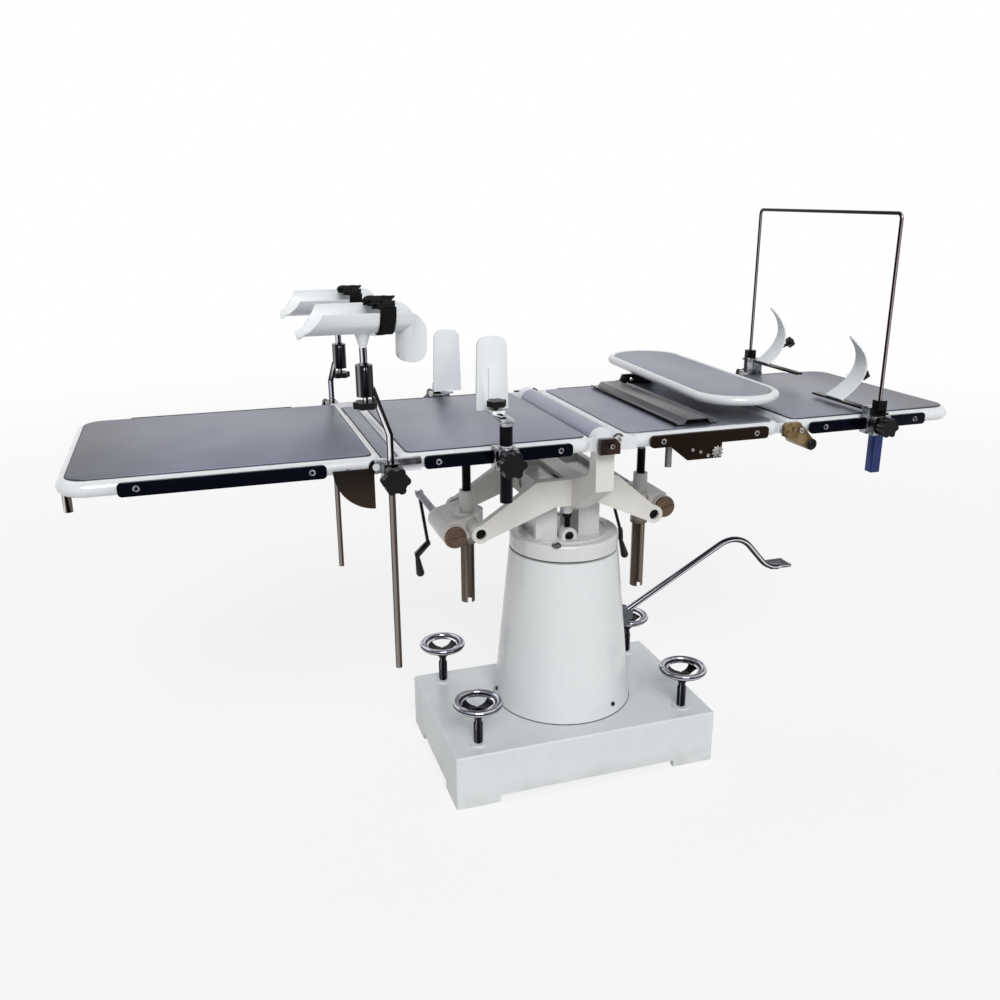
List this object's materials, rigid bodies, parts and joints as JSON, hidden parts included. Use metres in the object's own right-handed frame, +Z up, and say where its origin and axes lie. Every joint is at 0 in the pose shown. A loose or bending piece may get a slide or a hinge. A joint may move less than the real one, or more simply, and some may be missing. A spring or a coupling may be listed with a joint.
{
  "type": "operating table",
  "caption": "Hydraulic operating table: hollow plinth, tapered column, tilting cast saddle, hinged steel-topped tube sections with side rails, and rail-mounted patient supports.",
  "frame": {"origin": "on the floor under the column's axis, at the centre of the plinth", "axes": "+X along the table towards its head end, +Y across the table towards the side with the jack cranks, +Z up"},
  "size_m": [1.936, 0.8369, 1.288],
  "materials": {
    "cream_casting": "semi-gloss cream enamel on a casting",
    "cream_cover": "semi-gloss cream enamel on sheet",
    "white_enamel": "gloss white enamel",
    "steel": "machined",
    "brushed_steel": "fine brushed sheet",
    "chrome": "polished",
    "cast_iron": "as cast",
    "dark_brown": "dark oxidised satin",
    "dark_rail": "dark satin",
    "brown_steel": "brown-tinted satin",
    "brass_brown": "aged satin",
    "black_plastic": "moulded black",
    "white_plastic": "moulded white"
  },
  "bodies": {
    "base": {"base_plinth": "cream_casting", "column_cover": "cream_cover", "cover_screws": "steel", "hydraulic_cylinder": "cast_iron", "pump_body": "cast_iron", "pedal_bracket": "chrome"},
    "pedal": {"foot_pedal": "chrome"},
    "plunger": {"pump_plunger": "steel"},
    "lift": {"lift_ram": "chrome", "column_cap": "cream_casting", "tilt_axle": "steel"},
    "strut": {"tilt_strut": "white_enamel"},
    "saddle": {"saddle_casting": "cream_casting", "hinge_blocks": "dark_brown", "gap_cover": "brushed_steel", "left_jack_housing": "cream_casting", "left_crank_shaft": "brown_steel"},
    "left_screw": {"left_jack_screw": "steel"},
    "left_crank_body": {"left_crank": "chrome"},
    "right_jack": {"right_jack_housing": "cream_casting", "right_crank_shaft": "brown_steel"},
    "right_screw": {"right_jack_screw": "steel"},
    "right_crank_body": {"right_crank": "chrome"},
    "seat": {"seat_frame": "white_enamel", "seat_panel": "brushed_steel", "seat_rails": "dark_rail", "leg_holder_sockets": "black_plastic"},
    "leg": {"leg_frame": "white_enamel", "leg_panel": "brushed_steel", "leg_rails": "dark_rail", "leg_quadrants": "dark_brown"},
    "back": {"back_frame": "white_enamel", "back_panel": "brushed_steel", "back_rails": "dark_brown", "arm_board_bracket": "black_plastic"},
    "board": {"arm_board": "white_enamel"},
    "bridge": {"kidney_bridge": "brushed_steel"},
    "spindle": {"kidney_spindle": "steel"},
    "head": {"head_frame": "white_enamel", "head_panel": "brushed_steel", "head_rails": "dark_rail", "head_hinge_blocks": "brass_brown"},
    "screen": {"head_clamps": "black_plastic", "screen_frame": "chrome"},
    "shoulder_near": {"shoulder_support_near": "white_plastic"},
    "shoulder_far": {"shoulder_support_far": "white_plastic"},
    "side_near": {"side_support_near": "white_plastic"},
    "side_far": {"side_support_far": "white_plastic"},
    "pole_near": {"leg_pole_near": "chrome"},
    "pole_far": {"leg_pole_far": "chrome"},
    "crutch_near": {"leg_crutch_near": "white_plastic"},
    "crutch_far": {"leg_crutch_far": "white_plastic"},
    "wheel_near_left": {"handwheel_near_left": "chrome"},
    "foot_near_left": {"levelling_foot_near_left": "steel"},
    "wheel_near_right": {"handwheel_near_right": "chrome"},
    "foot_near_right": {"levelling_foot_near_right": "steel"},
    "wheel_far_left": {"handwheel_far_left": "chrome"},
    "foot_far_left": {"levelling_foot_far_left": "steel"},
    "wheel_far_right": {"handwheel_far_right": "chrome"},
    "foot_far_right": {"levelling_foot_far_right": "steel"}
  },
  "joints": [
    {"name": "wheel_near_left_turn", "type": "hinge", "parent": "base", "child": "wheel_near_left", "pos_m": [-0.27, -0.17, 0.236], "axis": [0, 0, 1], "range_deg": [0, 1080]},
    {"name": "foot_near_left_slide", "type": "slide", "parent": "base", "child": "foot_near_left", "axis": [0, 0, 1], "range_m": [-0.012, 0]},
    {"name": "wheel_near_right_turn", "type": "hinge", "parent": "base", "child": "wheel_near_right", "pos_m": [0.246, -0.17, 0.236], "axis": [0, 0, 1], "range_deg": [0, 1080]},
    {"name": "foot_near_right_slide", "type": "slide", "parent": "base", "child": "foot_near_right", "axis": [0, 0, 1], "range_m": [-0.012, 0]},
    {"name": "wheel_far_left_turn", "type": "hinge", "parent": "base", "child": "wheel_far_left", "pos_m": [-0.27, 0.142, 0.236], "axis": [0, 0, 1], "range_deg": [0, 1080]},
    {"name": "foot_far_left_slide", "type": "slide", "parent": "base", "child": "foot_far_left", "axis": [0, 0, 1], "range_m": [-0.012, 0]},
    {"name": "wheel_far_right_turn", "type": "hinge", "parent": "base", "child": "wheel_far_right", "pos_m": [0.246, 0.142, 0.236], "axis": [0, 0, 1], "range_deg": [0, 1080]},
    {"name": "foot_far_right_slide", "type": "slide", "parent": "base", "child": "foot_far_right", "axis": [0, 0, 1], "range_m": [-0.012, 0]},
    {"name": "column_lift", "type": "slide", "parent": "base", "child": "lift", "axis": [0, 0, 1], "range_m": [0, 0.22]},
    {"name": "pedal_press", "type": "hinge", "parent": "base", "child": "pedal", "pos_m": [0.16663, 0, 0.321], "axis": [0, 1, 0], "range_deg": [0, 22], "stiffness_Nm_per_rad": 8, "springref_deg": -28.65},
    {"name": "plunger_stroke", "type": "slide", "parent": "base", "child": "plunger", "axis": [0, 0, 1], "range_m": [0, 0.018]},
    {"name": "side_tilt", "type": "hinge", "parent": "lift", "child": "saddle", "pos_m": [0, 0, 0.69], "axis": [1, 0, 0], "range_deg": [-20, 20]},
    {"name": "strut_slide", "type": "slide", "parent": "lift", "child": "strut", "axis": [0, 0, 1], "range_m": [-0.0225, 0.0225]},
    {"name": "seat_tilt", "type": "hinge", "parent": "saddle", "child": "seat", "pos_m": [-0.008, 0, 0.835], "axis": [0, 1, 0], "range_deg": [-12, 25]},
    {"name": "left_screw_slide", "type": "slide", "parent": "saddle", "child": "left_screw", "axis": [0, 0, 1], "range_m": [-0.06, 0.105]},
    {"name": "back_raise", "type": "hinge", "parent": "saddle", "child": "back", "pos_m": [-0.008, 0, 0.835], "axis": [0, -1, 0], "range_deg": [-10, 60]},
    {"name": "right_jack_swing", "type": "hinge", "parent": "saddle", "child": "right_jack", "pos_m": [0.18, 0, 0.616], "axis": [0, -1, 0], "range_deg": [-2.2, 10.7]},
    {"name": "right_screw_slide", "type": "slide", "parent": "right_jack", "child": "right_screw", "axis": [0, 0, 1], "range_m": [-0.036, 0.206]},
    {"name": "left_crank_fold", "type": "hinge", "parent": "saddle", "child": "left_crank_body", "pos_m": [-0.285, 0.286, 0.597], "axis": [0.9903, 0, 0.1392], "range_deg": [0, 90]},
    {"name": "right_crank_fold", "type": "hinge", "parent": "right_jack", "child": "right_crank_body", "pos_m": [0.232, 0.286, 0.614], "axis": [0.9588, 0, 0.284], "range_deg": [0, 90]},
    {"name": "leg_drop", "type": "hinge", "parent": "seat", "child": "leg", "pos_m": [-0.494, 0, 0.835], "axis": [0, 1, 0], "range_deg": [-85, 0]},
    {"name": "head_tilt", "type": "hinge", "parent": "back", "child": "head", "pos_m": [0.415, 0, 0.835], "axis": [0, -1, 0], "range_deg": [-35, 15]},
    {"name": "bridge_lift", "type": "slide", "parent": "back", "child": "bridge", "axis": [0, 0, 1], "range_m": [0, 0.07]},
    {"name": "spindle_turn", "type": "hinge", "parent": "back", "child": "spindle", "pos_m": [0.2363, 0, 0.803], "axis": [0, 1, 0], "range_deg": [0, 345]},
    {"name": "board_swing", "type": "hinge", "parent": "back", "child": "board", "pos_m": [0.342, 0.297, 0.885], "axis": [0, 0, 1], "range_deg": [-180, 0]},
    {"name": "screen_slide", "type": "slide", "parent": "head", "child": "screen", "axis": [1, 0, 0], "range_m": [-0.12, 0.075]},
    {"name": "shoulder_near_slide", "type": "slide", "parent": "screen", "child": "shoulder_near", "axis": [0, 1, 0], "range_m": [-0.04, 0.03]},
    {"name": "shoulder_far_slide", "type": "slide", "parent": "screen", "child": "shoulder_far", "axis": [0, -1, 0], "range_m": [0, 0.03]},
    {"name": "side_near_slide", "type": "slide", "parent": "seat", "child": "side_near", "axis": [1, 0, 0], "range_m": [-0.12, 0.11]},
    {"name": "side_far_slide", "type": "slide", "parent": "seat", "child": "side_far", "axis": [1, 0, 0], "range_m": [-0.12, 0.11]},
    {"name": "pole_near_slide", "type": "slide", "parent": "seat", "child": "pole_near", "axis": [0, 0, 1], "range_m": [-0.04, 0.25]},
    {"name": "crutch_near_tilt", "type": "hinge", "parent": "pole_near", "child": "crutch_near", "pos_m": [-0.512, -0.293, 1.029], "axis": [0, 1, 0], "range_deg": [-20, 20]},
    {"name": "pole_far_slide", "type": "slide", "parent": "seat", "child": "pole_far", "axis": [0, 0, 1], "range_m": [-0.04, 0.25]},
    {"name": "crutch_far_tilt", "type": "hinge", "parent": "pole_far", "child": "crutch_far", "pos_m": [-0.468, 0.293, 0.982], "axis": [0, 1, 0], "range_deg": [-20, 20]}
  ],
  "couplings": [
    {"joint": "foot_near_left_slide", "follows": "wheel_near_left_turn", "m_per_rad": -0.00063662},
    {"joint": "foot_near_right_slide", "follows": "wheel_near_right_turn", "m_per_rad": -0.00063662},
    {"joint": "foot_far_left_slide", "follows": "wheel_far_left_turn", "m_per_rad": -0.00063662},
    {"joint": "foot_far_right_slide", "follows": "wheel_far_right_turn", "m_per_rad": -0.00063662},
    {"joint": "plunger_stroke", "follows": "pedal_press", "m_per_rad": 0.044},
    {"joint": "strut_slide", "follows": "side_tilt", "m_per_rad": -0.062},
    {"joint": "left_screw_slide", "follows": "seat_tilt", "m_per_rad": 0.232},
    {"joint": "right_jack_swing", "follows": "back_raise", "ratio": 0.17},
    {"joint": "right_screw_slide", "follows": "back_raise", "m_per_rad": 0.195},
    {"joint": "spindle_turn", "follows": "bridge_lift", "rad_per_m": 83.333}
  ]
}
